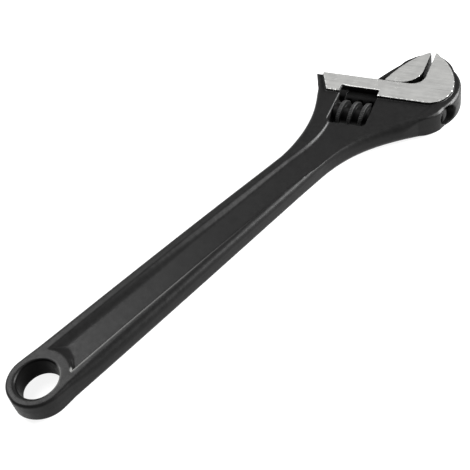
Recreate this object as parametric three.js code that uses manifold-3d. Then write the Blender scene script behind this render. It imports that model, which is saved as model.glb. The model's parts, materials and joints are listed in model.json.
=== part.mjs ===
// Adjustable wrench, 250 mm class: a forged body with an I-section handle, a movable jaw on a round
// toothed slide, the worm that drives it, the worm's slotted pin and the spring that loads the worm.
// Millimetres, +Z up. The wrench lies flat: its ground faces rest on z = 0, its handle runs along X.
import * as THREE from 'three';
import { mergeVertices } from 'three/addons/utils/BufferGeometryUtils.js';
import Module from 'manifold-3d';

const wasm = await Module();
wasm.setup();

// ---- Driving dimensions -------------------------------------------------------------------------
// Handle frame: origin at the centre of the hanging hole, +X to the head, z = 0 in the mid-plane.
const HEAD_END = 244;              // from the hanging hole to the jaw tips
const HEAD_ANGLE = 22.5;           // degrees between the jaw faces and the handle

const EYE_RADIUS = 13.05;          // rounded end of the handle
const HOLE_RADIUS = 9.3;
const HOLE_CHAMFER = 0.6;
const EYE_HALF = 4.8;              // half thickness at the hanging hole
const FORGING_HALF = 5.6;          // half thickness of the blackened head
const GROUND_HALF = 6.8;           // half thickness over the ground faces
const EDGE_ROUND = 2;              // rounding along the forging's outline
const WAIST = 156;                 // where the handle is narrowest
const WAIST_EDGES = [-10.4, 7.9];  // the handle's two edges there
const SWELL = [WAIST - 26, WAIST + 14];      // it thickens to the head over this X

const FLOOR_HALF = 3;              // half thickness of the web between the handle's flanges
const RECESS_START = 14.3;         // radius of the recess's round end about the hanging hole
const RECESS_HALF = 7.4;           // half width of the recess at its lip
const RECESS_DRAFT = 1.8;          // how far its walls slope in
const RECESS_BEND = 130;           // its walls begin to spread towards the head here
const RECESS_RUNOUT = [100, 174];  // the floor climbs from the web to the head's face over this X

// Head frame, turned about the hanging hole: S runs along the slide to the fixed jaw, T to the tips.
const STRIP_T = 198.2;             // the slideway on which the movable jaw runs
const HEEL_S = 45.9;               // open end of the head
const FIXED_FACE_S = 98.85;        // clamping face of the fixed jaw
const TIP_T = 222.8;               // reach of the fixed jaw's tip
const JAW_TIP_T = 222.2;           // reach of the movable jaw's tip
const THROAT_RADIUS = 8;
const BACK_CENTRE = [96, 198];     // centre of the round back of the fixed jaw
const BACK_RADIUS = 21;
const GROUND_PROUD = 0.2;          // how far the ground strip and jaw face stand out of the forging
const PAD_EDGE_T = 186.5;          // lower edge of the ground face
const PAD_START_S = 50.9;

const WINDOW = { s0: 62, s1: 80.4, t0: 166.8, t1: 190.5, corner: 2.4 };
const SLIDE_T = 188;               // axis of the round slide
const SLIDE_RADIUS = 4.5;
const BORE_RADIUS = 4.7;
const NECK_HALF = 2;               // half thickness of the web between slide and jaw
const SLOT_HALF = 2.2;

const JAW_GAP = 2.18;              // opening between the jaw faces as modelled
const JAW_FACE_S = FIXED_FACE_S - JAW_GAP;
const JAW_SEAT_T = STRIP_T + 0.25;
const JAW_HEEL_S = 77.4;           // heel and bow of the blackened back of the jaw
const JAW_BOW = [84.9, 214.6];
const JAW_GROUND_HEEL_S = 80.7;    // the same for its ground face
const JAW_GROUND_BOW = [85.8, 214.9];
const JAW_CORNER_RADIUS = 9;
const SLIDE_ENDS = [64.6, 112.4];
const SLIDE_CHAMFER = 0.7;
const NECK_ENDS = [79.6, 93.6];
const TIP_CHAMFER = 0.4;

const WORM_T = 178.2;              // axis of the worm and its pin
const WORM_RADIUS = 6.7;
const WORM_ROOT = 5;
const WORM_ENDS = [62.35, 80.05];
const LEAD = 5.5;                  // single left-hand thread
const THREAD_CLEARANCE = 0.3;
const CREST_HALF_ANGLE = 45;       // degrees of the turn that the crest covers, each way
const ROOT_HALF_ANGLE = 95;        // degrees at which the flank reaches the root
const WORM_CHAMFER = 0.7;          // at the crest
const RACK_TOP_T = WORM_T + WORM_RADIUS + THREAD_CLEARANCE;

const PIN_RADIUS = 2;
const PIN_ENDS = [54.1, 88.6];
const PIN_HEAD_RADIUS = 2.9;
const PIN_HEAD_LENGTH = 2.4;
const PIN_SLOT = { half: 0.4, depth: 0.9 };
const RUNNING_GAP = 0.3;
const BLIND_GAP = 0.6;             // left at the bottom of a blind hole or slot

const SPRING_POCKET = { radius: 3.35, depth: 7.8 };
const SPRING = { wire: 0.3, radius: 2.75, turns: 5, start: 72.7, end: 80.0 };

const STEPS_PER_TURN = 14;         // facets of a thread or a coil
const FOOTPRINT_CENTRE = [115.405, -0.262];  // of the whole wrench, from the hanging hole
const CUT = 30;                    // how far a cutting tool overshoots
const TURN = 2 * Math.PI;
const radians = THREE.MathUtils.degToRad;

// ---- Materials ----------------------------------------------------------------------------------
const steel = (color, roughness, metalness) => new THREE.MeshStandardMaterial({ color, roughness, metalness });
const BLACK_FORGING = steel(0x37373a, 0.55, 0.6);
const GROUND_STEEL = steel(0xa9a9a6, 0.42, 0.9);
const WORM_STEEL = steel(0x4a4a4c, 0.4, 0.85);
const PIN_STEEL = steel(0x6b6b6e, 0.35, 0.95);
const SPRING_STEEL = steel(0x8a8a8c, 0.3, 1);

// ---- Frames -------------------------------------------------------------------------------------
const HEAD_TURN = radians(HEAD_ANGLE - 90);
const headMatrix = new THREE.Matrix4().makeRotationZ(HEAD_TURN);
// Turns +Z onto the S axis and +X onto T, for pieces that are drawn about the slide or the worm.
const alongSlide = new THREE.Matrix4().makeBasis(
  new THREE.Vector3(0, 1, 0),
  new THREE.Vector3(0, 0, 1),
  new THREE.Vector3(1, 0, 0),
);

function headPoint(s, t) {
  return new THREE.Vector2(s, t).rotateAround(new THREE.Vector2(0, 0), HEAD_TURN);
}

// ---- Solids -------------------------------------------------------------------------------------
function solid(geometry) {
  const bare = geometry.clone();
  bare.deleteAttribute('normal');
  bare.deleteAttribute('uv');
  const merged = mergeVertices(bare, 1e-4);
  return new wasm.Manifold(new wasm.Mesh({
    numProp: 3,
    vertProperties: new Float32Array(merged.attributes.position.array),
    triVerts: new Uint32Array(merged.index.array),
  }));
}

function geometryOf(manifold) {
  const mesh = manifold.getMesh();
  const geometry = new THREE.BufferGeometry();
  geometry.setAttribute('position', new THREE.BufferAttribute(new Float32Array(mesh.vertProperties), 3));
  geometry.setIndex(new THREE.BufferAttribute(new Uint32Array(mesh.triVerts), 1));
  return geometry;
}

function slab(shape, z0, z1, curveSegments = 10) {
  const geometry = new THREE.ExtrudeGeometry(shape, { depth: z1 - z0, bevelEnabled: false, curveSegments });
  return geometry.translate(0, 0, z0);
}

function box(s0, s1, t0, t1, z0, z1) {
  const geometry = new THREE.BoxGeometry(s1 - s0, t1 - t0, z1 - z0);
  return geometry.translate((s0 + s1) / 2, (t0 + t1) / 2, (z0 + z1) / 2);
}

// A turned piece: (radius, position) pairs, from the axis out and back to it, about S at height t.
function turned(profile, t, segments) {
  const points = profile.map(([radius, position]) => new THREE.Vector2(radius, position));
  const geometry = new THREE.LatheGeometry(points, segments);
  geometry.rotateX(Math.PI / 2);
  return geometry.applyMatrix4(alongSlide).translate(0, t, 0);
}

function rod(radius, s0, s1, t, segments, chamfer = 0) {
  const neck = chamfer ? [[radius - chamfer, s0]] : [];
  const nose = chamfer ? [[radius - chamfer, s1]] : [];
  const profile = [[0, s0], ...neck, [radius, s0 + chamfer], [radius, s1 - chamfer], ...nose, [0, s1]];
  return turned(profile, t, segments);
}

// ---- Body ---------------------------------------------------------------------------------------
// Handle frame. The near edge runs from the eye past the waist to the round back of the fixed jaw,
// and the far edge comes back from the heel of the slideway.
function forgingOutline() {
  const [nearWaist, farWaist] = WAIST_EDGES;
  const tangent = EYE_RADIUS - 0.1;
  const outline = new THREE.Shape();
  outline.moveTo(2, -tangent);
  outline.quadraticCurveTo(80, nearWaist - 0.6, WAIST, nearWaist);
  const back = headPoint(111.6, 182.6);
  outline.bezierCurveTo(186, nearWaist - 0.3, 201, -32.6, back.x, back.y);
  const centre = headPoint(...BACK_CENTRE);
  outline.absarc(centre.x, centre.y, BACK_RADIUS, HEAD_TURN - 0.62, HEAD_TURN + 0.98, false);
  const jawFace = FIXED_FACE_S + GROUND_PROUD;
  const corners = [headPoint(103.4, 218.6), headPoint(jawFace, 216), headPoint(jawFace, 206)];
  corners.forEach((corner) => outline.lineTo(corner.x, corner.y));
  const strip = STRIP_T - GROUND_PROUD;
  const throat = headPoint(jawFace - THROAT_RADIUS, strip);
  const throatCorner = headPoint(jawFace - 0.5, strip + 0.5);
  outline.quadraticCurveTo(throatCorner.x, throatCorner.y, throat.x, throat.y);
  const heel = headPoint(HEEL_S, strip);
  outline.lineTo(heel.x, heel.y);
  outline.bezierCurveTo(188, 19.6, 171, 8.2, WAIST - 8, farWaist);
  outline.quadraticCurveTo(90, farWaist + 3.1, 2, tangent);
  outline.absarc(0, 0, EYE_RADIUS, radians(90), radians(270), false);
  return outline;
}

function forging() {
  const geometry = new THREE.ExtrudeGeometry(forgingOutline(), {
    depth: 2 * (FORGING_HALF - EDGE_ROUND),
    bevelThickness: EDGE_ROUND,
    bevelSize: EDGE_ROUND,
    bevelOffset: -EDGE_ROUND,
    bevelSegments: 3,
    curveSegments: 14,
  });
  geometry.translate(0, 0, EDGE_ROUND - FORGING_HALF);
  return solid(geometry).intersect(solid(sideProfile()));
}

// Seen from the side, the handle is thinner than the head and swells where the two meet.
function sideProfile() {
  const [thin, thick] = SWELL;
  const middle = (thin + thick) / 2;
  const headHalf = FORGING_HALF + 0.1;
  const profile = new THREE.Shape();
  profile.moveTo(-CUT, -EYE_HALF);
  profile.lineTo(thin, -EYE_HALF);
  profile.quadraticCurveTo(middle, -EYE_HALF, thick, -headHalf);
  profile.lineTo(HEAD_END + CUT, -headHalf);
  profile.lineTo(HEAD_END + CUT, headHalf);
  profile.lineTo(thick, headHalf);
  profile.quadraticCurveTo(middle, EYE_HALF, thin, EYE_HALF);
  profile.lineTo(-CUT, EYE_HALF);
  return slab(profile, -2 * CUT, 2 * CUT, 6).rotateX(Math.PI / 2);
}

// The ground faces: the slideway strip and the flat of the fixed jaw, in the head frame.
function padOutline() {
  const outline = new THREE.Shape();
  outline.moveTo(PAD_START_S, PAD_EDGE_T);
  outline.lineTo(104, PAD_EDGE_T);
  outline.quadraticCurveTo(112, 187.6, 113.6, 196.8);
  outline.quadraticCurveTo(113.8, 206.5, 105.8, 216.4);
  outline.lineTo(FIXED_FACE_S + TIP_CHAMFER, TIP_T);
  outline.lineTo(FIXED_FACE_S, TIP_T - TIP_CHAMFER);
  outline.absarc(
    FIXED_FACE_S - THROAT_RADIUS, STRIP_T + THROAT_RADIUS, THROAT_RADIUS,
    0, -Math.PI / 2, true,
  );
  outline.lineTo(PAD_START_S, STRIP_T);
  return outline;
}

function windowTool() {
  const { s0, s1, t0, t1, corner } = WINDOW;
  const shape = new THREE.Shape();
  shape.moveTo(s0, t1);
  shape.lineTo(s0, t0 + corner);
  shape.quadraticCurveTo(s0, t0, s0 + corner, t0);
  shape.lineTo(s1 - corner, t0);
  shape.quadraticCurveTo(s1, t0, s1, t0 + corner);
  shape.lineTo(s1, t1);
  return slab(shape, -CUT, CUT, 4);
}

// The hollow between the handle's flanges, on the upper side.
function recessTool() {
  const lip = EYE_HALF + RECESS_DRAFT;
  const half = RECESS_HALF - RECESS_DRAFT;
  const start = RECESS_START + RECESS_DRAFT;
  const bend = Math.asin(half / start);
  const [, end] = RECESS_RUNOUT;
  const floor = new THREE.Shape();
  floor.absarc(0, 0, start, bend, -bend, true);
  floor.lineTo(RECESS_BEND, -half - 1);
  floor.quadraticCurveTo(end - 9, -half - 2.4, end + 10, -half - 9);
  floor.lineTo(end + 10, half + 4);
  floor.quadraticCurveTo(end - 12, half - 3.6, RECESS_BEND, half - 1.3);
  const geometry = new THREE.ExtrudeGeometry(floor, {
    depth: CUT,
    bevelThickness: lip - FLOOR_HALF,
    bevelSize: lip - FLOOR_HALF,
    bevelSegments: 1,
    curveSegments: 8,
  });
  geometry.translate(0, 0, lip);
  return solid(geometry).intersect(solid(recessRunout()));
}

function recessRunout() {
  const profile = new THREE.Shape();
  const [begin, end] = RECESS_RUNOUT;
  profile.moveTo(0, FLOOR_HALF);
  profile.lineTo(begin, FLOOR_HALF);
  profile.quadraticCurveTo((begin + end) / 2, FLOOR_HALF, end, FORGING_HALF + 0.3);
  profile.lineTo(end, FORGING_HALF + 3);
  profile.lineTo(0, FORGING_HALF + 3);
  return slab(profile, -CUT, CUT, 8).rotateX(Math.PI / 2);
}

function hangingHoleTool() {
  const profile = [
    [0, -CUT],
    [HOLE_RADIUS + CUT, -EYE_HALF - CUT + HOLE_CHAMFER],
    [HOLE_RADIUS, -EYE_HALF + HOLE_CHAMFER],
    [HOLE_RADIUS, EYE_HALF - HOLE_CHAMFER],
    [HOLE_RADIUS + CUT, EYE_HALF + CUT - HOLE_CHAMFER],
    [0, CUT],
  ];
  const points = profile.map(([radius, z]) => new THREE.Vector2(radius, z));
  return new THREE.LatheGeometry(points, 40).rotateX(Math.PI / 2);
}

function pinHoleTool() {
  const [start, end] = PIN_ENDS;
  const shoulder = start + PIN_HEAD_LENGTH + RUNNING_GAP;
  const shaft = solid(rod(PIN_RADIUS + RUNNING_GAP, start, end + BLIND_GAP, WORM_T, 20));
  const head = solid(rod(PIN_HEAD_RADIUS + RUNNING_GAP, HEEL_S, shoulder, WORM_T, 24));
  return shaft.add(head);
}

// The slide's bore runs right through the head, and the slot above it lets the jaw's web pass.
function slideTools() {
  const slotEnd = NECK_ENDS[1] + JAW_GAP + BLIND_GAP;
  const slotTop = STRIP_T + THROAT_RADIUS;
  return [
    solid(rod(BORE_RADIUS, HEEL_S - CUT, BACK_CENTRE[0] + CUT, SLIDE_T, 32)),
    solid(box(HEEL_S - CUT, slotEnd, SLIDE_T, slotTop, -SLOT_HALF, SLOT_HALF)),
  ];
}

function bodySolid() {
  const recess = recessTool();
  const flip = new THREE.Matrix4().makeScale(1, 1, -1);
  const tools = [solid(windowTool()), pinHoleTool(), ...slideTools()];
  let body = forging().add(solid(slab(padOutline(), -GROUND_HALF, GROUND_HALF)).transform(headMatrix.elements));
  tools.forEach((tool) => {
    body = body.subtract(tool.transform(headMatrix.elements));
  });
  body = body.subtract(recess).subtract(recess.transform(flip.elements));
  return body.subtract(solid(hangingHoleTool()));
}

// ---- Movable jaw (head frame) -------------------------------------------------------------------
function jawOutline(heel, bow) {
  const outline = new THREE.Shape();
  outline.moveTo(heel, JAW_SEAT_T);
  outline.absarc(
    JAW_FACE_S - JAW_CORNER_RADIUS, JAW_SEAT_T + JAW_CORNER_RADIUS, JAW_CORNER_RADIUS,
    -Math.PI / 2, 0, false,
  );
  outline.lineTo(JAW_FACE_S, JAW_TIP_T - TIP_CHAMFER);
  outline.lineTo(JAW_FACE_S - TIP_CHAMFER, JAW_TIP_T);
  outline.quadraticCurveTo(...bow, heel, JAW_SEAT_T + 0.6);
  return outline;
}

// One tooth space of the rack, cut square to the worm's thread.
function toothSpaceTool(s) {
  const slope = ((ROOT_HALF_ANGLE - CREST_HALF_ANGLE) / 360) * LEAD / (WORM_RADIUS - WORM_ROOT);
  const narrow = (CREST_HALF_ANGLE / 360) * LEAD + THREAD_CLEARANCE;
  const depth = SLIDE_RADIUS;
  const space = new THREE.Shape();
  space.moveTo(-narrow, 0);
  space.lineTo(-narrow - slope * depth, -depth);
  space.lineTo(narrow + slope * depth, -depth);
  space.lineTo(narrow, 0);
  const leadAngle = Math.atan(LEAD / (TURN * (WORM_RADIUS + WORM_ROOT) / 2));
  return slab(space, -CUT / 2, CUT / 2).rotateY(-leadAngle).translate(s, RACK_TOP_T, 0);
}

function movableJawSolid() {
  const [start, end] = SLIDE_ENDS;
  let jaw = solid(slab(jawOutline(JAW_HEEL_S, JAW_BOW), -FORGING_HALF, FORGING_HALF))
    .add(solid(slab(jawOutline(JAW_GROUND_HEEL_S, JAW_GROUND_BOW), -GROUND_HALF, GROUND_HALF)))
    .add(solid(box(...NECK_ENDS, SLIDE_T, JAW_SEAT_T + 1, -NECK_HALF, NECK_HALF)))
    .add(solid(rod(SLIDE_RADIUS, start, end, SLIDE_T, 32, SLIDE_CHAMFER)));
  const firstSpace = Math.ceil((start - WORM_ENDS[0]) / LEAD);
  for (let k = firstSpace; WORM_ENDS[0] + k * LEAD < end; k += 1) {
    jaw = jaw.subtract(solid(toothSpaceTool(WORM_ENDS[0] + k * LEAD)));
  }
  return jaw;
}

// ---- Worm (head frame) --------------------------------------------------------------------------
// A slice square to the axis is the same all along a single-start thread: it only turns.
function threadSlice() {
  const slice = new THREE.Shape();
  const crest = radians(CREST_HALF_ANGLE);
  const root = radians(ROOT_HALF_ANGLE);
  slice.absarc(0, 0, WORM_RADIUS, -crest, crest, false);
  slice.absarc(0, 0, WORM_ROOT, root, TURN - root, false);
  return slice;
}

function threadGeometry() {
  const length = WORM_ENDS[1] - WORM_ENDS[0];
  const thread = new THREE.ExtrudeGeometry(threadSlice(), {
    depth: length,
    steps: Math.round((length / LEAD) * STEPS_PER_TURN),
    bevelEnabled: false,
    curveSegments: 7,
  });
  const position = thread.attributes.position;
  const point = new THREE.Vector3();
  const axis = new THREE.Vector3(0, 0, 1);
  for (let i = 0; i < position.count; i += 1) {
    point.fromBufferAttribute(position, i);
    point.applyAxisAngle(axis, -TURN * point.z / LEAD);
    position.setXYZ(i, point.x, point.y, point.z);
  }
  return thread.applyMatrix4(alongSlide).translate(WORM_ENDS[0], WORM_T, 0);
}

function wormSolid() {
  const [start, end] = WORM_ENDS;
  // Cone ends, a little larger than the crests, so that only the crests' corners are broken.
  const over = 0.5;
  return solid(threadGeometry())
    .intersect(solid(rod(WORM_RADIUS + over, start, end, WORM_T, 36, WORM_CHAMFER + over)))
    .subtract(solid(rod(PIN_RADIUS + RUNNING_GAP, start - 1, end + 1, WORM_T, 20)))
    .subtract(solid(rod(SPRING_POCKET.radius, end - SPRING_POCKET.depth, end + 1, WORM_T, 24)));
}

// ---- Pin and spring (head frame) ----------------------------------------------------------------
function pinSolid() {
  const [start, end] = PIN_ENDS;
  const { half, depth } = PIN_SLOT;
  const slot = box(start - 1, start + depth, WORM_T - CUT / 2, WORM_T + CUT / 2, -half, half);
  return solid(rod(PIN_RADIUS, start, end, WORM_T, 20, 0.4))
    .add(solid(rod(PIN_HEAD_RADIUS, start, start + PIN_HEAD_LENGTH, WORM_T, 24, 0.3)))
    .subtract(solid(slot));
}

class Coil extends THREE.Curve {
  getPoint(u, target = new THREE.Vector3()) {
    const angle = u * SPRING.turns * TURN;
    const across = SPRING.radius * Math.cos(angle);
    const up = SPRING.radius * Math.sin(angle);
    return target.set(THREE.MathUtils.lerp(SPRING.start, SPRING.end, u), WORM_T + across, up);
  }
}

function springSolid() {
  const wire = new THREE.Shape().absarc(0, 0, SPRING.wire, 0, TURN, false);
  return solid(new THREE.ExtrudeGeometry(wire, {
    extrudePath: new Coil(),
    steps: SPRING.turns * STEPS_PER_TURN,
    curveSegments: 4,
  }));
}

// ---- Assembly -----------------------------------------------------------------------------------
function part(name, manifold, material) {
  const mesh = new THREE.Mesh(geometryOf(manifold), material);
  mesh.name = name;
  return mesh;
}

const head = new THREE.Group();
head.rotation.z = HEAD_TURN;
head.add(
  part('movable_jaw', movableJawSolid(), GROUND_STEEL),
  part('worm', wormSolid(), WORM_STEEL),
  part('worm_pin', pinSolid(), PIN_STEEL),
  part('worm_spring', springSolid(), SPRING_STEEL),
);

const wrench = new THREE.Group();
wrench.add(part('body', bodySolid(), BLACK_FORGING), head);
wrench.position.set(-FOOTPRINT_CENTRE[0], -FOOTPRINT_CENTRE[1], GROUND_HALF);

export default wrench;
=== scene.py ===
"""Looks of the adjustable wrench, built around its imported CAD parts.

Every solid is a signed distance field in millimetres, turned into a mesh by dual contouring.
Two frames are used. The handle frame has its origin at the centre of the hanging hole, +X to the
head and z = 0 in the mid-plane. The head frame (s, t) is turned about the same origin: s runs along
the slide to the fixed jaw, t to the jaw tips.
"""
import json
import math

import bpy
import numpy as np
from mathutils import Matrix, Vector


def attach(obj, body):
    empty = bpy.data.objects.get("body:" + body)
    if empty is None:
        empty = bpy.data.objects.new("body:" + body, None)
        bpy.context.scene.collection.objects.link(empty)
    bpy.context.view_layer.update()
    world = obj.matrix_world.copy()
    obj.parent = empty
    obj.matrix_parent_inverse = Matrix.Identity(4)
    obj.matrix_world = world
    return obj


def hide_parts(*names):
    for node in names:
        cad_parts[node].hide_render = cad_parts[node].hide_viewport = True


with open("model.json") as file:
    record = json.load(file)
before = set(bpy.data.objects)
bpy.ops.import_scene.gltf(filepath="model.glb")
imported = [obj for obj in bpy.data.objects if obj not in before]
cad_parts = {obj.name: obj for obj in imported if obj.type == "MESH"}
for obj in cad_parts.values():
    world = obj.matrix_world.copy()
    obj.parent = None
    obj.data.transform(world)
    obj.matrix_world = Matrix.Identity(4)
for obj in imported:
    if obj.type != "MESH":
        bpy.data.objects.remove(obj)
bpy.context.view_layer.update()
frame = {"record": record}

# ---- Measures, in millimetres ---------------------------------------------------------------------
# Names ending in _S or _T are places along s or t, and those ending in _HALF are half thicknesses.
MM = 0.001
MID_PLANE = 6.8
HEAD_ANGLE = math.radians(22.5)
HEAD_TURN = HEAD_ANGLE - math.pi / 2
PLAY = 0.3                         # around the pin and its head, and over the worm's crest
DRAFT = 0.02                       # of the forging's sides, per millimetre of height

# Handle and eye
EYE_RADIUS = 13.05
EYE_HALF = 5.05
WEB_HALF = 3.0
HOLE_RADII = (8.3, 8.95)           # at the bottom face and at the top face
HOLE_X, HOLE_Y = (0.66, 0.3), (-0.23, -0.3)
ROUND_EYE, ROUND_HEAD = 1.3, 0.9   # radii along the edges of the forging
ROUND_NEAR = (3.9, 3.2, 4.6)       # beside the eye, in mid-handle and where the head begins
ROUND_FAR = (3.0, 1.6)             # in mid-handle and where the head begins
ROUND_WIDENING = 0.507             # how far a millimetre of radius over 2 mm moves the side out

# Head and fixed jaw
FORGING_HALF = 5.6
GROUND_HALF = 6.77                 # a little under the CAD's, to leave room for the etched scale
WINDOW = (62.15, 80.4, 166.8, 190.5)  # low and high s, low and high t
SLIDE_T, SLIDE_RADIUS, BORE_RADIUS = 188.0, 4.5, 4.7
NECK_HALF, SLOT_HALF = 2.0, 2.2
STRIP_T = 198.2
FIXED_FACE_S = 98.85
THROAT_RADIUS = 6.2
TIP_T = 222.8
HEEL_S = 46.1
BACK_CENTRE, BACK_RADIUS = (96, 198), 20.7
PAD_START_S, PAD_FOOT_S, PAD_EDGE_T = 49.5, 55.3, 186.5

# Movable jaw
JAW_FACE_S = 96.67
JAW_SEAT_T = 198.25
JAW_TIP_T = 222.2
JAW_CORNER = 10.0
SLIDE_ENDS = (64.6, 112.9)
CROWN_RADIUS, CROWN_LENGTH = 6.0, 3.0
NECK_ENDS = (79.6, 93.6)

# Worm
WORM_T, WORM_RADIUS, WORM_ROOT = 178.2, 6.7, 5.0
WORM_ENDS = (62.35, 80.05)
LEAD = 5.5
CREST_HALF_ANGLE, ROOT_HALF_ANGLE = math.radians(45), math.radians(95)
KNURLS, KNURL_DEPTH = 48, 0.16
POCKET_RADIUS, POCKET_DEPTH = 3.35, 7.8

# Pin and spring
PIN_RADIUS, PIN_HEAD_RADIUS, PIN_HEAD_LENGTH = 2.0, 2.9, 2.4
PIN_ENDS = (54.1, 88.6)
THREAD_PITCH, THREAD_DEPTH, THREAD_START_S = 0.7, 0.22, 83.0
SPRING_WIRE, SPRING_RADIUS, SPRING_TURNS = 0.3, 2.75, 5
SPRING_ENDS = (72.7, 80.0)

hanging_hole = frame["record"]["physics"]["openings"][0]["box_m"]
HOLE_CENTRE = np.mean(np.array(hanging_hole, float).reshape(2, 3), axis=0)
HOLE_CENTRE[2] = MID_PLANE * MM


# ---- Frames -----------------------------------------------------------------------------------------
def to_head(x, y):
    """Handle frame to head frame."""
    c, s = math.cos(HEAD_TURN), math.sin(HEAD_TURN)
    return x * c + y * s, y * c - x * s


def from_head(s, t):
    """Head frame to handle frame."""
    c, k = math.cos(HEAD_TURN), math.sin(HEAD_TURN)
    return s * c - t * k, s * k + t * c


def shared_points(points, in_head):
    """Points of the handle or the head frame, in metres and in the frame of the CAD parts."""
    placed = np.array(points, float)
    if in_head:
        placed[:, 0], placed[:, 1] = from_head(points[:, 0], points[:, 1])
    return placed * MM + HOLE_CENTRE


# ---- Outlines ---------------------------------------------------------------------------------------
def bezier(*controls, steps=16):
    """Points along a quadratic or cubic curve, without its first one."""
    controls = np.array(controls, float)
    degree = len(controls) - 1
    u = np.linspace(0, 1, steps + 1)[1:, None]
    shares = [math.comb(degree, k) * u**k * (1 - u) ** (degree - k) for k in range(degree + 1)]
    return sum(share * control for share, control in zip(shares, controls))


def arc(centre, radius, start, end, steps=24):
    """Points along an arc, both ends included, angles in radians."""
    a = np.linspace(start, end, steps + 1)
    return np.column_stack([centre[0] + radius * np.cos(a), centre[1] + radius * np.sin(a)])


def forging_outline():
    """The whole body seen from above, in the handle frame."""
    far_edge, near_edge = EYE_RADIUS - 0.35, EYE_RADIUS + 0.25
    back = from_head(111.6, 182.6)
    jaw_face = FIXED_FACE_S + 0.2
    throat = from_head(jaw_face - THROAT_RADIUS, STRIP_T)
    inner = from_head(jaw_face, STRIP_T + THROAT_RADIUS)
    heel = from_head(HEEL_S, STRIP_T)
    return np.vstack([
        arc((0, 0), EYE_RADIUS - 0.3, math.pi / 2, 0.95 * math.pi, 20),
        arc((0.25, -0.2), EYE_RADIUS + 0.25, 1.02 * math.pi, 3 * math.pi / 2, 20),
        bezier((2, -near_edge), (60, -12.6), (156, -10.4), steps=24),
        bezier((156, -10.4), (186, -10.0), (201, -31.7), back, steps=32),
        arc(from_head(*BACK_CENTRE), BACK_RADIUS, HEAD_TURN - 0.62, HEAD_TURN + 0.8, 32),
        bezier(from_head(110.2, 213), from_head(108.4, 217.6), from_head(102.6, 221.2), steps=8),
        [from_head(100.6, 221.9), from_head(jaw_face, 216), inner],
        bezier(inner, from_head(jaw_face - 0.5, STRIP_T + 0.5), throat),
        [heel],
        bezier(heel, (188, 19.6), (171, 8.2), (148, 8.15), steps=28),
        bezier((148, 8.15), (95, 11.05), (2, far_edge), steps=24),
    ])


def pad_outline():
    """The ground strip and the ground flat of the fixed jaw, in the head frame."""
    return np.vstack([
        [(PAD_FOOT_S, PAD_EDGE_T), (104, PAD_EDGE_T)],
        bezier((104, PAD_EDGE_T), (112, 187.6), (113.6, 196.8)),
        bezier((113.6, 196.8), (113.8, 206.5), (105.8, 216.4)),
        [(FIXED_FACE_S + 0.4, TIP_T - 0.05), (FIXED_FACE_S, TIP_T - 0.45)],
        arc((FIXED_FACE_S - THROAT_RADIUS, STRIP_T + THROAT_RADIUS), THROAT_RADIUS, 0, -math.pi / 2),
        [(PAD_START_S, STRIP_T)],
    ])


def recess_outline():
    """The lip of the hollow between the flanges, which runs out over the head, in the handle frame."""
    far_start, near_start = (12.0, 7.7), (11.4, -8.6)
    bend = math.atan2(far_start[1], far_start[0])
    near_bend = math.atan2(near_start[1], near_start[0])
    window_corner = from_head(WINDOW[0] + 1, WINDOW[2] + 3)
    window_top = from_head(WINDOW[0] + 1, SLIDE_T)
    return np.vstack([
        arc((0, 0), math.hypot(*far_start), bend, near_bend, 20),
        bezier(near_start, (70, -8.2), (128, -9.6), steps=20),
        bezier((128, -9.6), (172, -8.6), (187, -22), (207, -27), steps=24),
        [from_head(107, 186), from_head(107, SLIDE_T), window_top, window_corner],
        bezier(window_corner, (169, 1.2), (160, 2.3), (148, 3.6), steps=24),
        bezier((148, 3.6), (104, 6.4), far_start, steps=20),
    ])


def jaw_outline(heel, *bow):
    """The movable jaw seen from above, in the head frame: its heel and the bow of its back."""
    tip = (JAW_FACE_S - 0.4, JAW_TIP_T)
    foot = (heel, JAW_SEAT_T + 0.6)
    return np.vstack([
        [(heel, JAW_SEAT_T)],
        arc((JAW_FACE_S - JAW_CORNER, JAW_SEAT_T + JAW_CORNER), JAW_CORNER, -math.pi / 2, 0),
        [(JAW_FACE_S, JAW_TIP_T - 0.4), tip],
        bezier(tip, *bow, foot, steps=28)[:-1],
        [foot],
    ])


def signed_distance(points, x, y):
    """Distance from (x, y) to a closed outline, negative inside it."""
    nearest = np.full(x.shape, np.inf)
    inside = np.zeros(x.shape, bool)
    for (ax, ay), (bx, by) in zip(points, np.roll(points, -1, axis=0)):
        ex, ey = bx - ax, by - ay
        length = ex * ex + ey * ey
        if length < 1e-12:
            continue
        px, py = x - ax, y - ay
        u = np.clip((px * ex + py * ey) / length, 0, 1)
        nearest = np.minimum(nearest, (px - u * ex) ** 2 + (py - u * ey) ** 2)
        if ey:
            inside ^= ((ay > y) != (by > y)) & (px < py * ex / ey)
    return np.where(inside, -1, 1) * np.sqrt(nearest)


class Outline:
    """An outline's signed distance, kept on a fine grid and read back between its points."""

    def __init__(self, points, step=0.3, margin=6):
        low, high = points.min(0) - margin, points.max(0) + margin
        counts = np.ceil((high - low) / step).astype(int) + 1
        self.low, self.step = low, step
        xs = low[0] + step * np.arange(counts[0])
        ys = low[1] + step * np.arange(counts[1])
        self.values = signed_distance(points, xs[:, None] + 0 * ys, 0 * xs[:, None] + ys)

    def __call__(self, x, y):
        """The signed distance at (x, y)."""
        rows, columns = self.values.shape
        u = np.clip((x - self.low[0]) / self.step, 0, rows - 1.001)
        v = np.clip((y - self.low[1]) / self.step, 0, columns - 1.001)
        i, j = u.astype(int), v.astype(int)
        u, v = u - i, v - j
        table = self.values
        low = table[i, j] * (1 - v) + table[i, j + 1] * v
        high = table[i + 1, j] * (1 - v) + table[i + 1, j + 1] * v
        return low * (1 - u) + high * u


# ---- Joining and cutting fields ----------------------------------------------------------------------
# A field is below zero inside its solid. DEEP stands for a place far inside, where a cut doesn't reach.
DEEP = -9.0


def smoothstep(value, start, end):
    """0 at start and before it, 1 at end and after it, with a smooth rise between them."""
    u = np.clip((value - start) / (end - start), 0, 1)
    return u * u * (3 - 2 * u)


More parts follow.
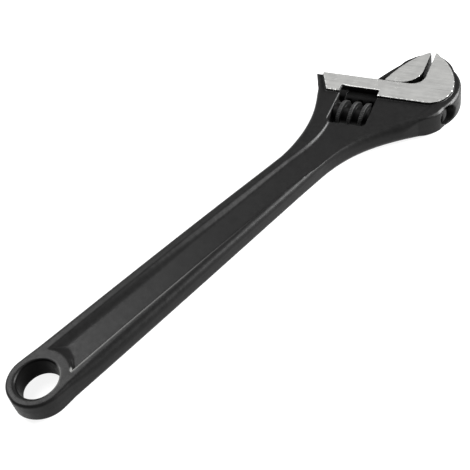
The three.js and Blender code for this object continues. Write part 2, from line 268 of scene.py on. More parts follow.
def mix(a, b, share):
    """a where share is 0 and b where it is 1."""
    return a + (b - a) * share


def fillet_join(a, b, radius):
    """Both solids, with a fillet in the corner between them."""
    corner = np.hypot(np.maximum(radius - a, 0), np.maximum(radius - b, 0))
    return np.maximum(radius, np.minimum(a, b)) - corner


def round_meet(a, b, radius):
    """What both solids share, with its edge rounded."""
    corner = np.hypot(np.maximum(radius + a, 0), np.maximum(radius + b, 0))
    return np.minimum(-radius, np.maximum(a, b)) + corner


def chamfer_meet(a, b, width):
    """What both solids share, with its edge chamfered."""
    return np.maximum(np.maximum(a, b), (a + b + width) * math.sqrt(0.5))


def rod_field(s, t, z, axis_t, radius, start, end, chamfer=0.0):
    """A round bar along s."""
    side = np.hypot(t - axis_t, z) - radius
    ends = np.maximum(start - s, s - end)
    return chamfer_meet(side, ends, chamfer)


def box_field(s, t, low_s, high_s, low_t, high_t, corner=0.0):
    """A rectangle's signed distance with rounded corners."""
    ds = np.abs(s - (low_s + high_s) / 2) - (high_s - low_s) / 2 + corner
    dt = np.abs(t - (low_t + high_t) / 2) - (high_t - low_t) / 2 + corner
    outside = np.hypot(np.maximum(ds, 0), np.maximum(dt, 0))
    return outside + np.minimum(np.maximum(ds, dt), 0) - corner


# ---- Dual contouring ---------------------------------------------------------------------------------
def gradient(field, points, reach=0.02):
    """Unit normals of a field at points."""
    slopes = []
    for axis in range(3):
        step = np.zeros(3)
        step[axis] = reach
        ahead, behind = points + step, points - step
        slopes.append(field(*ahead.T) - field(*behind.T))
    normals = np.column_stack(slopes)
    return normals / np.maximum(np.linalg.norm(normals, axis=1), 1e-9)[:, None]


def crossings(field, grid, values, axis):
    """Where the grid's edges along one axis pass through the surface: cells, points and directions."""
    inside = values < 0
    first = np.take(inside, range(inside.shape[axis] - 1), axis)
    second = np.take(inside, range(1, inside.shape[axis]), axis)
    cells = np.argwhere(first != second)
    ends = cells.copy()
    ends[:, axis] += 1
    a = np.column_stack([grid[k][cells[:, k]] for k in range(3)])
    b = np.column_stack([grid[k][ends[:, k]] for k in range(3)])
    fa, fb = values[tuple(cells.T)], values[tuple(ends.T)]
    low, high = np.zeros(len(cells)), np.ones(len(cells))
    for _ in range(3):
        share = np.clip((low * fb - high * fa) / (fb - fa), 0, 1)
        middle = field(*(a + (b - a) * share[:, None]).T)
        same = (middle < 0) == (fa < 0)
        low, fa = np.where(same, share, low), np.where(same, middle, fa)
        high, fb = np.where(same, high, share), np.where(same, fb, middle)
        gap = np.abs(fb - fa) < 1e-9
        fb = np.where(gap, fb + 1e-9, fb)
    share = np.clip((low * fb - high * fa) / (fb - fa), 0, 1)
    return cells, a + (b - a) * share[:, None], first[tuple(cells.T)]


def contour(field, grid, pull=0.05):
    """The surface field = 0 as vertices and quads, with its sharp edges kept."""
    xs, ys, zs = grid
    values = field(xs[:, None, None], ys[None, :, None], zs[None, None, :])
    shape = np.array(values.shape) - 1
    owners, places, slopes, faces = [], [], [], []
    for axis in range(3):
        b, c = (axis + 1) % 3, (axis + 2) % 3
        cells, points, outward = crossings(field, grid, values, axis)
        normals = gradient(field, points)
        corners = []
        for back_b, back_c in ((1, 1), (0, 1), (0, 0), (1, 0)):
            cell = cells.copy()
            cell[:, b] -= back_b
            cell[:, c] -= back_c
            corners.append(np.ravel_multi_index(tuple(cell.T), shape))
        quads = np.column_stack(corners)
        faces.append(np.where(outward[:, None], quads, quads[:, ::-1]))
        owners += corners
        places += [points] * 4
        slopes += [normals] * 4
    ids, owner = np.unique(np.concatenate(owners), return_inverse=True)
    vertices = feature_points(owner, len(ids), np.vstack(places), np.vstack(slopes), pull)
    cell = np.column_stack(np.unravel_index(ids, shape))
    low = np.column_stack([grid[k][cell[:, k]] for k in range(3)])
    high = np.column_stack([grid[k][cell[:, k] + 1] for k in range(3)])
    vertices = np.clip(vertices, low, high)
    return vertices, np.searchsorted(ids, np.vstack(faces))


def feature_points(owner, count, points, normals, pull):
    """For each cell, the point nearest to all the tangent planes that pass through it."""
    total = np.bincount(owner, minlength=count)
    middle = np.column_stack([np.bincount(owner, points[:, k], count) for k in range(3)])
    middle /= total[:, None]
    offset = np.einsum("ij,ij->i", normals, points - middle[owner])
    matrix = np.zeros((count, 3, 3))
    target = np.zeros((count, 3))
    for i in range(3):
        target[:, i] = np.bincount(owner, normals[:, i] * offset, count)
        for j in range(i, 3):
            product = np.bincount(owner, normals[:, i] * normals[:, j], count)
            matrix[:, i, j] = matrix[:, j, i] = product
    matrix += np.eye(3) * pull
    return middle + np.linalg.solve(matrix, target[:, :, None])[:, :, 0]


def steps(*stretches):
    """Grid lines from stretches of (start, end, spacing), each starting where the last one ends."""
    lines = [np.linspace(a, b, max(2, round((b - a) / d) + 1))[:-1] for a, b, d in stretches]
    return np.concatenate(lines + [[stretches[-1][1]]])


# ---- Meshes -----------------------------------------------------------------------------------------
def mesh_piece(name, vertices, faces, material, crease=35.0):
    """A mesh object from vertices in metres and faces with the same number of corners."""
    mesh = bpy.data.meshes.new(name)
    faces = np.asarray(faces)
    sides = faces.shape[1]
    mesh.vertices.add(len(vertices))
    mesh.vertices.foreach_set("co", np.asarray(vertices, np.float32).ravel())
    mesh.loops.add(faces.size)
    mesh.loops.foreach_set("vertex_index", faces.astype(np.int32).ravel())
    mesh.polygons.add(len(faces))
    mesh.polygons.foreach_set("loop_start", np.arange(0, faces.size, sides, dtype=np.int32))
    mesh.update(calc_edges=True)
    mesh.validate()
    mesh.shade_smooth()
    mesh.set_sharp_from_angle(angle=math.radians(crease))
    piece = bpy.data.objects.new(name, mesh)
    bpy.context.scene.collection.objects.link(piece)
    mesh.materials.append(material)
    return piece


def point_values(piece, name, values):
    """A number at each vertex, for the piece's material to read."""
    layer = piece.data.attributes.new(name, "FLOAT", "POINT")
    layer.data.foreach_set("value", np.asarray(values, np.float32))


def field_piece(name, field, grid, material, in_head, crease=35.0):
    """A mesh object of a field's surface, and its vertices in the field's own frame."""
    vertices, faces = contour(field, grid)
    return mesh_piece(name, shared_points(vertices, in_head), faces, material, crease), vertices


def stand_for(piece, node, body):
    """The piece replaces a CAD node, which is hidden, and rides on its body."""
    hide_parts(node)
    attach(piece, body)


# ---- Body -------------------------------------------------------------------------------------------
FORGING = Outline(forging_outline())
PAD = Outline(pad_outline(), 0.2)
RECESS = Outline(recess_outline())


def edge_rounding(x, y, s, t):
    """Radius along the forging's outline: large on the handle and the near side of the head."""
    past_eye = smoothstep(x, -2, 26)
    near = mix(ROUND_EYE, mix(ROUND_NEAR[0], ROUND_NEAR[1], smoothstep(x, 40, 95)), past_eye)
    near = mix(near, ROUND_NEAR[2], smoothstep(x, 150, 180))
    far = mix(ROUND_EYE, ROUND_FAR[0], past_eye)
    far = mix(far, ROUND_FAR[1], smoothstep(x, 160, 190))
    side = mix(near, far, smoothstep(y, -3, 3))
    return mix(side, ROUND_HEAD, np.maximum(smoothstep(s, 97, 107), smoothstep(t, 192, 202)))


def shell_field(x, y, z, s, t):
    """The forging without its hollows, and its half thickness, which grows towards the head."""
    half = np.minimum(EYE_HALF + 0.9 * np.clip((x - 130) / 40, 0, 1) ** 2, FORGING_HALF)
    radius = edge_rounding(x, y, s, t)
    # A rounder edge needs a wider outline to show the same silhouette.
    side = FORGING(x, y) - ROUND_WIDENING * np.maximum(radius - 2, 0) + DRAFT * np.abs(z)
    shell = round_meet(side, np.abs(z) - half, radius)
    # A narrow bevel runs along the top of the fixed jaw's back.
    slope = mix(0.6, 1.2, smoothstep(t, 206, 193)) * smoothstep(s, 104, 111)
    bevel = (side + z - half + slope) * math.sqrt(0.5)
    return round_meet(shell, np.where(slope > 1e-6, bevel, DEEP), 0.3), half


def recess_field(x, y, z, half):
    """The hollow between the flanges: sloping walls and a web that climbs to the head's face."""
    floor = WEB_HALF + (FORGING_HALF - WEB_HALF) * smoothstep(x, 105, 225)
    run = mix(0.45, 1.0, smoothstep(y, -6, -2))
    wall = (RECESS(x, y) + run * (half - np.abs(z))) / np.hypot(1, run)
    foot = mix(0.6, mix(1.8, 0.5, smoothstep(x, 50, 110)), smoothstep(y, -3, 3))
    return round_meet(wall, floor - np.abs(z), foot)


def hole_field(x, y, z):
    """Distance into the hanging hole from its wall; the hole widens towards the top face."""
    rise = (z + EYE_HALF) / (2 * EYE_HALF)
    return mix(*HOLE_RADII, rise) - np.hypot(x - mix(*HOLE_X, rise), y - mix(*HOLE_Y, rise))


def painted_highlight_share(x, y, z):
    """A painted highlight on the black skin along the near side's recess lip and the hole's rim."""
    outer = smoothstep(np.abs(z), EYE_HALF - 1.2, EYE_HALF - 0.6)
    lip = smoothstep(np.abs(RECESS(x, y)), 0.6, 0.15) * smoothstep(y, -6.5, -8) * smoothstep(x, 120, 20)
    rim = smoothstep(np.abs(hole_field(x, y, z) + 0.35), 0.6, 0.1) * smoothstep(x, -6, 0)
    return outer * smoothstep(y, 0, -4) * np.maximum(lip, 0.7 * rim)


def body_field(x, y, z):
    """The forging with its ground pad, recess, window, bore, slot, pin hole and hanging hole."""
    s, t = to_head(x, y)
    shell, half = shell_field(x, y, z, s, t)
    body = round_meet(shell, -recess_field(x, y, z, half), 0.35)
    pad = chamfer_meet(PAD(s, t) + DRAFT * np.abs(z), np.abs(z) - GROUND_HALF, 0.12)
    body = fillet_join(body, pad, 0.5)
    window = box_field(s, t, *WINDOW, corner=mix(2.2, 0.4, smoothstep(t, 176, 181)))
    body = round_meet(body, -window, mix(1.1, 0.45, smoothstep(s, 62, 66)))
    bore = np.hypot(t - SLIDE_T, z) - BORE_RADIUS
    body = chamfer_meet(body, -bore, 0.35)
    slot_end = NECK_ENDS[1] + (FIXED_FACE_S - JAW_FACE_S) + 0.6
    slot = np.maximum(np.maximum(np.abs(z) - SLOT_HALF, SLIDE_T - t), s - slot_end)
    body = chamfer_meet(body, -slot, 0.2)
    shaft = rod_field(s, t, z, WORM_T, PIN_RADIUS + PLAY, PIN_ENDS[0], PIN_ENDS[1] + 2 * PLAY)
    socket = np.hypot(t - WORM_T, z) - PIN_HEAD_RADIUS - PLAY
    socket = np.maximum(socket, s - PIN_ENDS[0] - PIN_HEAD_LENGTH - PLAY)
    body = chamfer_meet(np.maximum(body, -shaft), -socket, 0.3)
    lip = mix(1.0, 1.7, smoothstep(x, 1, -7))
    return round_meet(body, hole_field(x, y, z), lip)


def make_body(material):
    """The body, on a grid that is finer at the eye and the head, where the detail is."""
    grid = (
        steps((-15.3, 34, 0.5), (34, 140, 2.0), (140, 245.8, 0.48)),
        steps((-35.9, 37.1, 0.46)),
        steps((-7.37, 7.37, 0.42)),
    )
    piece, vertices = field_piece("forged_body", body_field, grid, material, False, crease=50)
    # Painted shade on the hanging hole's wall.
    point_values(piece, "painted_shade", smoothstep(hole_field(*vertices.T), -0.6, -0.05))
    # A painted highlight along the near side's recess lip and the hole's rim.
    point_values(piece, "wear_and_painted_highlight", painted_highlight_share(*vertices.T))
    stand_for(piece, "body", "frame")


# ---- Movable jaw ------------------------------------------------------------------------------------
JAW_BACK = Outline(jaw_outline(75.6, (89.8, 221.4), (83.1, 212.6)), 0.15)
JAW_GROUND = Outline(jaw_outline(80.9, (90.2, 218.3), (84.6, 209.1)), 0.15)
RACK_TOP_T = WORM_T + WORM_RADIUS + PLAY
BACK_FOOT, BACK_RUN = (76, 199), (20, 23)  # a line along the jaw's back, from its foot


def rack_field(s, t, z):
    """The tooth spaces of the slide's rack, square to the worm's thread."""
    slope = (ROOT_HALF_ANGLE - CREST_HALF_ANGLE) / math.tau * LEAD / (WORM_RADIUS - WORM_ROOT)
    narrow = CREST_HALF_ANGLE / math.tau * LEAD + PLAY
    lead_angle = math.atan(LEAD / (math.pi * (WORM_RADIUS + WORM_ROOT)))
    along = (s - WORM_ENDS[0] + z * math.tan(lead_angle) + LEAD / 2) % LEAD - LEAD / 2
    flank = np.abs(along) * math.cos(lead_angle) - narrow - slope * (RACK_TOP_T - t)
    return round_meet(flank / math.hypot(1, slope), t - RACK_TOP_T, 0.15)


def jaw_field(s, t, z):
    """The hook-shaped jaw, its neck and the round slide with the rack."""
    az = np.abs(z)
    back = JAW_BACK(s, t)
    # The edge is round along the back and sharp at the gripping face.
    outer = smoothstep(s + 0.6 * (t - JAW_SEAT_T), 96, 92)
    sharp = chamfer_meet(back, az - FORGING_HALF, 0.1)
    blackened = mix(sharp, round_meet(back, az - FORGING_HALF, 1.4), outer)
    ground = chamfer_meet(JAW_GROUND(s, t), az - GROUND_HALF, 0.06)
    jaw = fillet_join(blackened, ground, 0.4)
    neck = box_field(s, t, *NECK_ENDS, SLIDE_T, JAW_SEAT_T + 1, corner=0.3)
    jaw = fillet_join(jaw, np.maximum(neck, az - NECK_HALF), 0.3)
    slide = rod_field(s, t, z, SLIDE_T, SLIDE_RADIUS, *SLIDE_ENDS, chamfer=0.8)
    crown_s = SLIDE_ENDS[1] - CROWN_RADIUS
    crown = np.sqrt((s - crown_s) ** 2 + (t - SLIDE_T) ** 2 + z**2) - CROWN_RADIUS
    slide = np.maximum(slide, np.where(s > SLIDE_ENDS[1] - CROWN_LENGTH, crown, DEEP))
    return np.minimum(jaw, chamfer_meet(slide, -rack_field(s, t, z), 0.12))


def make_jaw(material):
    """The jaw, with painted shade that darkens its black skin and weakens its reflection on the sides
    of the mouth and on the slide.
    """
    margin = 0.83
    low_t, high_t = SLIDE_T - SLIDE_RADIUS - margin, JAW_TIP_T + margin
    grid = (
        steps((SLIDE_ENDS[0] - margin, SLIDE_ENDS[1] + margin, 0.3)),
        steps((low_t, JAW_SEAT_T, 0.28), (JAW_SEAT_T, high_t, 0.33)),
        steps((-GROUND_HALF - 0.67, GROUND_HALF + 0.67, 0.33)),
    )
    piece, vertices = field_piece("hook_jaw", jaw_field, grid, material, True)
    s, t = vertices[:, 0], vertices[:, 1]
    across = (s - BACK_FOOT[0]) * BACK_RUN[1] - (t - BACK_FOOT[1]) * BACK_RUN[0]
    from_back = across / math.hypot(*BACK_RUN)
    # Painted shade on the sides of the mouth and on the slide, all but its end in the bore.
    painted_shade_mask = np.maximum(smoothstep(from_back, 0.6, 2.0), t < JAW_SEAT_T + 0.1)
    point_values(piece, "painted_shade", painted_shade_mask * (s < SLIDE_ENDS[1] - 2.5))
    stand_for(piece, "movable_jaw", "jaw")


# ---- Worm -------------------------------------------------------------------------------------------
def worm_radius(s, turn):
    """Distance of the worm's skin from its axis at position s and angle turn."""
    phase = (turn + math.tau * (s - WORM_ENDS[0]) / LEAD + math.pi) % math.tau - math.pi
    flank = np.clip((np.abs(phase) - CREST_HALF_ANGLE) / (ROOT_HALF_ANGLE - CREST_HALF_ANGLE), 0, 1)
    height = 1 - smoothstep(flank, -0.12, 1.12)
    knurl = KNURL_DEPTH * np.abs(np.cos(turn * KNURLS / 2)) ** 6 * smoothstep(height, 0.75, 1)
    radius = mix(WORM_ROOT, WORM_RADIUS, height) - knurl
    # Both ends are rounded over.
    to_end = np.minimum(s - WORM_ENDS[0], WORM_ENDS[1] - s)
    return np.minimum(radius, WORM_RADIUS - 0.9 + np.sqrt(np.maximum(to_end, 0) * 1.1))


def torus_faces(rows, around):
    """Quads over a grid of rows that closes on itself both ways."""
    i, j = np.meshgrid(np.arange(rows), np.arange(around), indexing="ij")
    next_i, next_j = (i + 1) % rows, (j + 1) % around
    corners = [i * around + j, next_i * around + j, next_i * around + next_j, i * around + next_j]
    return np.stack(corners, axis=-1).reshape(-1, 4)[:, ::-1]


def make_worm(material):
    """The worm, as rows around its axis: one end, the thread, the other end, the pocket, the bore."""
    around, along, chamfer = 288, 150, 0.15
    bore = PIN_RADIUS + PLAY
    start, end = WORM_ENDS
    turn = np.linspace(0, math.tau, around, endpoint=False)
    rows = [(start, np.full(around, r)) for r in (bore, 2.6, 3.4, 4.2)]
    rows += [(s, worm_radius(s, turn)) for s in np.linspace(start, end, along)]
    rows += [(end, np.full(around, r)) for r in (4.4, POCKET_RADIUS + chamfer)]
    pocket_end = end - POCKET_DEPTH
    rows += [(s, np.full(around, POCKET_RADIUS)) for s in (end - chamfer, pocket_end)]
    rows += [(s, np.full(around, bore)) for s in (pocket_end, start + 2 * chamfer)]
    vertices = np.vstack([
        np.column_stack([np.full(around, s), WORM_T + radius * np.cos(turn), radius * np.sin(turn)])
        for s, radius in rows
    ])
    faces = torus_faces(len(rows), around)
    piece = mesh_piece("thumb_worm", shared_points(vertices, True), faces, material, crease=40)
    radii = np.concatenate([radius for s, radius in rows])
    point_values(piece, "polish", smoothstep(radii, 6.35, WORM_RADIUS - 0.05))
    stand_for(piece, "worm", "worm")


# ---- Pin and spring ---------------------------------------------------------------------------------
def pin_field(s, t, z):
    """A slotted screw pin with a threaded tip."""
    angle = np.arctan2(z, t - WORM_T)
    wave = np.abs((s / THREAD_PITCH - angle / math.tau) % 1 - 0.5) * 2
    threaded = smoothstep(s, THREAD_START_S, THREAD_START_S + 0.5)
    side = np.hypot(t - WORM_T, z) - PIN_RADIUS + THREAD_DEPTH * wave * threaded
    shaft = chamfer_meet(side, np.maximum(PIN_ENDS[0] - s, s - PIN_ENDS[1]), 0.5)
    head_end = PIN_ENDS[0] + PIN_HEAD_LENGTH
    head = rod_field(s, t, z, WORM_T, PIN_HEAD_RADIUS, PIN_ENDS[0], head_end, 0.3)
    pin = np.minimum(shaft, head)
    slot = np.maximum(np.abs(z) - 0.4, s - PIN_ENDS[0] - 0.9)
    return chamfer_meet(pin, -slot, 0.08)


def make_pin(material):
    """The pin, on a grid fine enough for its thread."""
    margin, spacing = 0.33, 0.16
    reach = PIN_HEAD_RADIUS + margin
    across = steps((-reach, reach, spacing))
    along = steps((PIN_ENDS[0] - margin, PIN_ENDS[1] + margin, spacing))
    piece, _ = field_piece("slotted_pin", pin_field, (along, across + WORM_T, across), material, True)
    stand_for(piece, "worm_pin", "frame")


def make_spring(material):
    """A compression spring whose end coils lie close, so that its ends bear flat."""
    around, per_turn = 12, 48
    count = SPRING_TURNS * per_turn
    u = np.linspace(0, 1, count)
    rise = mix(u, smoothstep(u, 0, 1), 0.55)
    turn = u * SPRING_TURNS * math.tau
    s = mix(SPRING_ENDS[0] + 0.02, SPRING_ENDS[1] - 0.02, rise)
    outward = np.column_stack([np.zeros(count), np.cos(turn), np.sin(turn)])
    centre = outward * SPRING_RADIUS + np.column_stack([s, np.full(count, WORM_T), np.zeros(count)])
    forward = np.gradient(centre, axis=0)
    forward /= np.linalg.norm(forward, axis=1)[:, None]
    side = np.cross(forward, outward)
    section = np.linspace(0, math.tau, around, endpoint=False)[None, :, None]
    ring = outward[:, None] * np.cos(section) + side[:, None] * np.sin(section)
    # The wire narrows at both ends, and a flat cap closes each of them.
    taper = np.sqrt(np.clip(np.minimum(u, 1 - u) * count / 3, 0.15, 1)) * (SPRING_WIRE - 0.01)
    vertices = (centre[:, None] + ring * taper[:, None, None]).reshape(-1, 3)
    quads = torus_faces(count, around)
    quads = quads[np.ptp(quads, axis=1) <= 3 * around]
    first_cap = np.array([[0, j + 1, j] for j in range(1, around - 1)])
    last_cap = first_cap[:, [0, 2, 1]] + (count - 1) * around
    faces = np.vstack([quads[:, [0, 1, 2]], quads[:, [0, 2, 3]], first_cap, last_cap])
    piece = mesh_piece("thrust_spring", shared_points(vertices, True), faces, material)
    stand_for(piece, "worm_spring", "frame")


# ---- Etched scale -----------------------------------------------------------------------------------
def digit_strokes(digit):
    """Centre lines of a generic digit in a cell 1 wide and 1.6 high, its middle at the origin."""
    def bow(middle, width, height, start, end, count=14):
        """A stretch of an ellipse."""
        angles = np.linspace(start, end, count)
        return [(width * math.cos(a), middle + height * math.sin(a)) for a in angles]

    if digit == "0":
        return [bow(0, 0.42, 0.72, 0, math.tau, 25)]
    if digit == "1":
        return [[(-0.25, 0.45), (0.08, 0.74), (0.08, -0.74)]]
    if digit == "2":
        return [bow(0.36, 0.4, 0.38, math.pi, -0.6) + [(-0.42, -0.74), (0.44, -0.74)]]
    return [bow(0.38, 0.36, 0.36, 2.7, -1.4) + bow(-0.36, 0.42, 0.38, 1.4, -2.7)]


def ribbon(points, width):
    """Quads of a line of the given width, as corner points."""
    quads = []
    for (ax, ay), (bx, by) in zip(points, points[1:]):
        dx, dy = bx - ax, by - ay
        scale = width / 2 / math.hypot(dx, dy)
        ox, oy = -dy * scale, dx * scale
        quads.append([(ax - ox, ay - oy), (bx - ox, by - oy), (bx + ox, by + oy), (ax + ox, ay + oy)])
    return quads


def etched(name, quads, body, material):
    """Thin dark marks lying on the top ground face, from quads in the head frame."""
    corners = np.array(quads, float).reshape(-1, 2)
    k = len(corners)
    heights = (GROUND_HALF - 0.02, GROUND_HALF + 0.012)
    vertices = np.vstack([np.column_stack([corners, np.full(k, height)]) for height in heights])
    base = np.arange(0, k, 4)[:, None]
    sides = [(0, 1, k + 1, k), (1, 2, k + 2, k + 1), (2, 3, k + 3, k + 2), (3, 0, k, k + 3)]
    loops = [(k, k + 1, k + 2, k + 3), (3, 2, 1, 0)] + sides
    faces = np.vstack([base + np.array(loop) for loop in loops])
    piece = mesh_piece(name, shared_points(vertices, True), faces, material)
    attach(piece, body)


def make_scale(material):
    """The jaw opening in millimetres along the strip, and the index line on the movable jaw."""
    spacing, zero_s = 10.1, 87.6
    label_t, size, pitch = 193.9, 0.92, 1.3
    tick_t, tick_length, half_tick_length = STRIP_T - 0.35, 1.55, 0.95
    line, thin_line = 0.2, 0.16
    quads = []
    for step in range(4):
        s = zero_s - spacing * step
        label = str(step * 10)
        for k, digit in enumerate(label):
            shift = s + (k - (len(label) - 1) / 2) * size * pitch
            for stroke in digit_strokes(digit):
                points = [(shift + px * size, label_t + py * size) for px, py in stroke]
                quads += ribbon(points, line)
        quads += ribbon([(s, tick_t), (s, tick_t - tick_length)], line)
        if step < 3:
            between = s - spacing / 2
            quads += ribbon([(between, tick_t), (between, tick_t - half_tick_length)], thin_line)
    etched("opening_scale", quads, "frame", material)
    index_s = zero_s - (FIXED_FACE_S - JAW_FACE_S)
    index_line = [(index_s, JAW_SEAT_T + 0.35), (index_s, JAW_SEAT_T + 3.4)]
    etched("scale_index", ribbon(index_line, 0.22), "jaw", material)


# ---- Materials --------------------------------------------------------------------------------------
class Nodes:
    """A material's node tree, with shorter ways to add and join nodes."""

    def __init__(self, name):
        self.material = bpy.data.materials.new(name)
        self.material.use_nodes = True
        self.tree = self.material.node_tree
        self.shader = self.tree.nodes["Principled BSDF"]
        coordinates = self.tree.nodes.new("ShaderNodeTexCoord")
        self.place = coordinates.outputs["Object"]

    def add(self, kind, settings=None, **inputs):
        """A new node. Its inputs are named with _ for each space."""
        node = self.tree.nodes.new(kind)
        for key, value in (settings or {}).items():
            setattr(node, key, value)
        for key, value in inputs.items():
            self.put(node, key.replace("_", " "), value)
        return node

    def put(self, node, key, value):
        """A number, a colour or a link on an input, found by its name or its place."""
        socket = node.inputs[key] if isinstance(key, int) else self.find(node, key)
        if isinstance(value, bpy.types.NodeSocket):
            self.tree.links.new(value, socket)
        else:
            socket.default_value = value

    @staticmethod
    def find(node, key):
        """The input in use that has this name."""
        return next(s for s in node.inputs if s.name.lower() == key.lower() and s.enabled)

    def math(self, operation, a, b=0.0):
        """The result of an operation on one or two values."""
        node = self.add("ShaderNodeMath", {"operation": operation})
        self.put(node, 0, a)
        self.put(node, 1, b)
        return node.outputs[0]

    def noise(self, size, detail=3.0, where=None, roughness=0.55):
        """Noise whose blotches are about size millimetres across."""
        scale = 1 / (size * MM)
        node = self.add("ShaderNodeTexNoise", Scale=scale, Detail=detail, Roughness=roughness)
        self.put(node, "Vector", where or self.place)
        return node.outputs["Fac"]

    def stretched(self, turn, along, across):
        """Coordinates for streaks that run at an angle about Z, in blotches per metre."""
        node = self.add("ShaderNodeMapping", {"vector_type": "POINT"})
        self.put(node, "Vector", self.place)
        node.inputs["Rotation"].default_value = (0, 0, -turn)
        scaled = self.add("ShaderNodeMapping", {"vector_type": "POINT"})
        self.put(scaled, "Vector", node.outputs[0])
        scaled.inputs["Scale"].default_value = (along, across, across)
        return scaled.outputs[0]

    def spread(self, value, low, high, start=0.3, end=0.7):
        """value from start to end, carried over to low to high."""
        node = self.add("ShaderNodeMapRange", {"clamp": True})
        for key, number in ((0, value), (1, start), (2, end), (3, low), (4, high)):
            self.put(node, key, number)
        return node.outputs[0]

    def blend(self, share, a, b):
        """Colour a where share is 0 and b where it is 1."""
        node = self.add("ShaderNodeMix", {"data_type": "RGBA"})
        self.put(node, 0, share)
        for key, colour in ((6, a), (7, b)):
            self.put(node, key, colour if isinstance(colour, bpy.types.NodeSocket) else (*colour, 1))
        return node.outputs[2]

    def mix_value(self, share, a, b):
        """Number a where share is 0 and b where it is 1."""
        node = self.add("ShaderNodeMix", {"data_type": "FLOAT"})
        for key, number in ((0, share), (2, a), (3, b)):
            self.put(node, key, number)
        return node.outputs[0]

    def bump(self, height, depth, normal=None):
        """Relief of the given depth in millimetres."""
        node = self.add("ShaderNodeBump", Height=height, Distance=depth * MM, Strength=1.0)
        if normal:
            self.put(node, "Normal", normal)
        return node.outputs[0]

    def reading(self, name):
        """What the mesh holds under this name."""
        return self.add("ShaderNodeAttribute", {"attribute_name": name}).outputs["Fac"]

    def finish(self, colour, roughness, metallic, normal):
        """The material, with its main inputs joined."""
        self.put(self.shader, "Base Color", colour)
        self.put(self.shader, "Roughness", roughness)
        self.put(self.shader, "Metallic", metallic)
        self.put(self.shader, "Normal", normal)
        return self.material


SHEEN, PAINTED_SHADE_SHEEN = 0.125, 0.03  # how strongly the black skin mirrors the lights, plain and under painted shade
PAINTED_HIGHLIGHT_SHARE = 0.42                        # how far the painted highlight turns the black skin towards bright steel


def ground_share(nodes):
    """1 on the ground faces, which are the parts furthest from the mid-plane, and 0 elsewhere."""
    split = nodes.add("ShaderNodeSeparateXYZ", Vector=nodes.place)
    height = nodes.math("ABSOLUTE", nodes.math("SUBTRACT", split.outputs["Z"], MID_PLANE * MM))
    return nodes.spread(height, 0.0, 1.0, (GROUND_HALF - 0.1) * MM, (GROUND_HALF - 0.04) * MM)


def black_skin(nodes):
    """Colour, roughness and relief of blackened steel, with painted shade, darker and less reflective,
    where the piece holds it.
    """
    grain = nodes.noise(0.35, 4.0, roughness=0.7)
    blotch = nodes.noise(7.0, 3.0)
    dark, light = (0.0022, 0.0022, 0.0023), (0.0055, 0.0054, 0.0053)
    colour = nodes.blend(nodes.spread(grain, 0.0, 1.0), dark, light)
    colour = nodes.blend(nodes.spread(blotch, 0.0, 0.45, 0.45, 0.75), colour, (0.002, 0.002, 0.0021))
    # Painted shade: darker colour and weaker reflection where the piece holds it.
    painted_shade = nodes.reading("painted_shade")
    colour = nodes.blend(painted_shade, colour, (0.0015, 0.0015, 0.0015))
    nodes.put(nodes.shader, "Specular IOR Level", nodes.mix_value(painted_shade, SHEEN, PAINTED_SHADE_SHEEN))
    roughness = nodes.spread(nodes.noise(1.8, 4.0), 0.35, 0.47)
    relief = nodes.bump(nodes.noise(4.5, 2.0), 0.09)
    relief = nodes.bump(grain, 0.02, relief)
    return colour, roughness, relief


def ground_skin(nodes):
    """Colour, roughness and relief of a face ground bright."""
    streaks = nodes.noise(1000, 4.0, nodes.stretched(HEAD_TURN, 60, 2600), 0.6)
    cloud = nodes.noise(5.0, 3.0)
    colour = nodes.blend(nodes.spread(cloud, 0.0, 1.0), (0.34, 0.34, 0.333), (0.40, 0.40, 0.39))
    colour = nodes.blend(nodes.spread(streaks, 0.0, 0.5, 0.5, 0.75), colour, (0.28, 0.28, 0.275))
    return colour, nodes.spread(streaks, 0.36, 0.5), nodes.bump(streaks, 0.006)


def two_skins(name, has_painted_highlight=False):
    """Black forging whose furthest faces are ground bright."""
    nodes = Nodes(name)
    share = ground_share(nodes)
    # The painted highlight mixes bright steel into the black skin where the piece holds it.
    if has_painted_highlight:
        wear_and_painted_highlight = nodes.math("MULTIPLY", nodes.reading("wear_and_painted_highlight"), PAINTED_HIGHLIGHT_SHARE)
        share = nodes.math("MAXIMUM", share, wear_and_painted_highlight)
    black, black_rough, relief = black_skin(nodes)
    bright, bright_rough, scratches = ground_skin(nodes)
    normal = nodes.add("ShaderNodeMix", {"data_type": "VECTOR"})
    for key, value in ((0, share), (4, relief), (5, scratches)):
        nodes.put(normal, key, value)
    colour = nodes.blend(share, black, bright)
    roughness = nodes.mix_value(share, black_rough, bright_rough)
    metallic = nodes.mix_value(share, 0.0, 0.9)
    return nodes.finish(colour, roughness, metallic, normal.outputs[1])


def bare_steel(name, dark, light, rough, size=0.5):
    """Bare steel with fine mottling."""
    nodes = Nodes(name)
    grain = nodes.noise(size, 4.0)
    colour = nodes.blend(nodes.spread(grain, 0.0, 1.0), dark, light)
    roughness = nodes.spread(nodes.noise(size * 4, 3.0), rough - 0.07, rough + 0.1)
    return nodes.finish(colour, roughness, 0.85, nodes.bump(grain, 0.01))


def worm_skin():
    """Blackened steel, worn lighter on the thread's crest."""
    nodes = Nodes("worm_steel")
    grain = nodes.noise(0.5, 4.0)
    wear_and_painted_highlight = nodes.math("MULTIPLY", nodes.reading("polish"), nodes.spread(grain, 0.5, 1.0))
    colour = nodes.blend(wear_and_painted_highlight, (0.003, 0.003, 0.003), (0.045, 0.045, 0.045))
    roughness = nodes.spread(grain, 0.3, 0.45)
    metallic = nodes.math("MULTIPLY", wear_and_painted_highlight, 0.9)
    nodes.put(nodes.shader, "Specular IOR Level", 0.05)
    return nodes.finish(colour, roughness, metallic, nodes.bump(grain, 0.01))


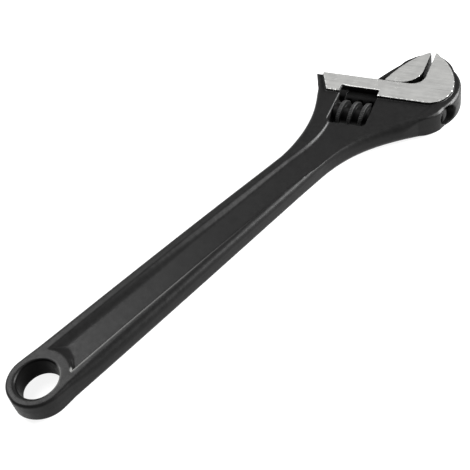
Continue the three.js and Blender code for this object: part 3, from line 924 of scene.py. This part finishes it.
def etch_ink():
    """The grey of a shallow etching."""
    nodes = Nodes("etched_mark")
    grain = nodes.noise(0.12, 3.0)
    colour = nodes.blend(nodes.spread(grain, 0.0, 1.0), (0.16, 0.16, 0.155), (0.3, 0.3, 0.29))
    roughness = nodes.spread(grain, 0.55, 0.75)
    return nodes.finish(colour, roughness, 0.5, nodes.bump(grain, 0.005))


# ---- Stage ------------------------------------------------------------------------------------------
FLOOR_REACH, FLOOR_DROP = 3.0, 0.0002
PAPER_GLOW = 0.86
SKY_STRENGTH = 0.4


def make_floor():
    """A pale sheet just under the wrench. Its own faint light keeps it as white as paper."""
    nodes = Nodes("pale_floor")
    cloud = nodes.noise(400, 2.0)
    colour = nodes.blend(nodes.spread(cloud, 0.0, 1.0), (0.21, 0.21, 0.21), (0.23, 0.23, 0.23))
    nodes.put(nodes.shader, "Emission Color", (1, 1, 1, 1))
    nodes.put(nodes.shader, "Emission Strength", PAPER_GLOW)
    material = nodes.finish(colour, nodes.spread(cloud, 0.85, 0.9), 0.0, nodes.bump(cloud, 0.01))
    corners = [(-1, -1, 0), (1, -1, 0), (1, 1, 0), (-1, 1, 0)]
    floor = mesh_piece("floor", np.array(corners) * FLOOR_REACH, [(0, 1, 2, 3)], material)
    floor.location.z = -FLOOR_DROP


def area_light(name, direction, distance, width, height, power):
    """A softbox that looks at the wrench from a direction."""
    data = bpy.data.lights.new(name, "AREA")
    data.shape = "RECTANGLE"
    data.size = width
    data.size_y = height
    data.energy = power
    light = bpy.data.objects.new(name, data)
    bpy.context.scene.collection.objects.link(light)
    towards = Vector(direction).normalized()
    light.location = towards * distance
    light.rotation_mode = "QUATERNION"
    light.rotation_quaternion = towards.to_track_quat("Z", "Y")


def make_lights():
    """An even sky, a large softbox behind the wrench and a small one to the right of the head."""
    world = bpy.data.worlds.new("studio")
    bpy.context.scene.world = world
    world.use_nodes = True
    background = world.node_tree.nodes["Background"]
    background.inputs["Color"].default_value = (1, 1, 1, 1)
    background.inputs["Strength"].default_value = SKY_STRENGTH
    area_light("key_softbox", (-0.12, 0.6, 0.8), 1.4, 0.9, 0.9, 30)
    area_light("right_softbox", (0.75, -0.52, 0.42), 0.7, 0.43, 0.24, 22)


def make_camera():
    """The photo's camera, in front of the handle and above it, looking down at 47 degrees."""
    data = bpy.data.cameras.new("camera")
    data.sensor_width = 36
    data.lens = 76.24
    camera = bpy.data.objects.new("camera", data)
    bpy.context.scene.collection.objects.link(camera)
    forward = Vector((0.38382, 0.56224, -0.73251)).normalized()
    right = Vector((0.70286, -0.69237, -0.16314)).normalized()
    up = right.cross(forward)
    turn = Matrix((right, up, -forward)).transposed()
    camera.matrix_world = Matrix.Translation(Vector((-176.655, -248.068, 322.4)) * MM) @ turn.to_4x4()
    bpy.context.scene.camera = camera


make_camera()
make_lights()
make_floor()
make_body(two_skins("black_forging", has_painted_highlight=True))
make_jaw(two_skins("ground_steel"))
make_worm(worm_skin())
make_pin(bare_steel("pin_steel", (0.2, 0.2, 0.2), (0.34, 0.34, 0.33), 0.35))
make_spring(bare_steel("spring_steel", (0.3, 0.3, 0.3), (0.45, 0.45, 0.44), 0.28, size=0.2))
make_scale(etch_ink())
bpy.context.scene.view_settings.view_transform = "Standard"
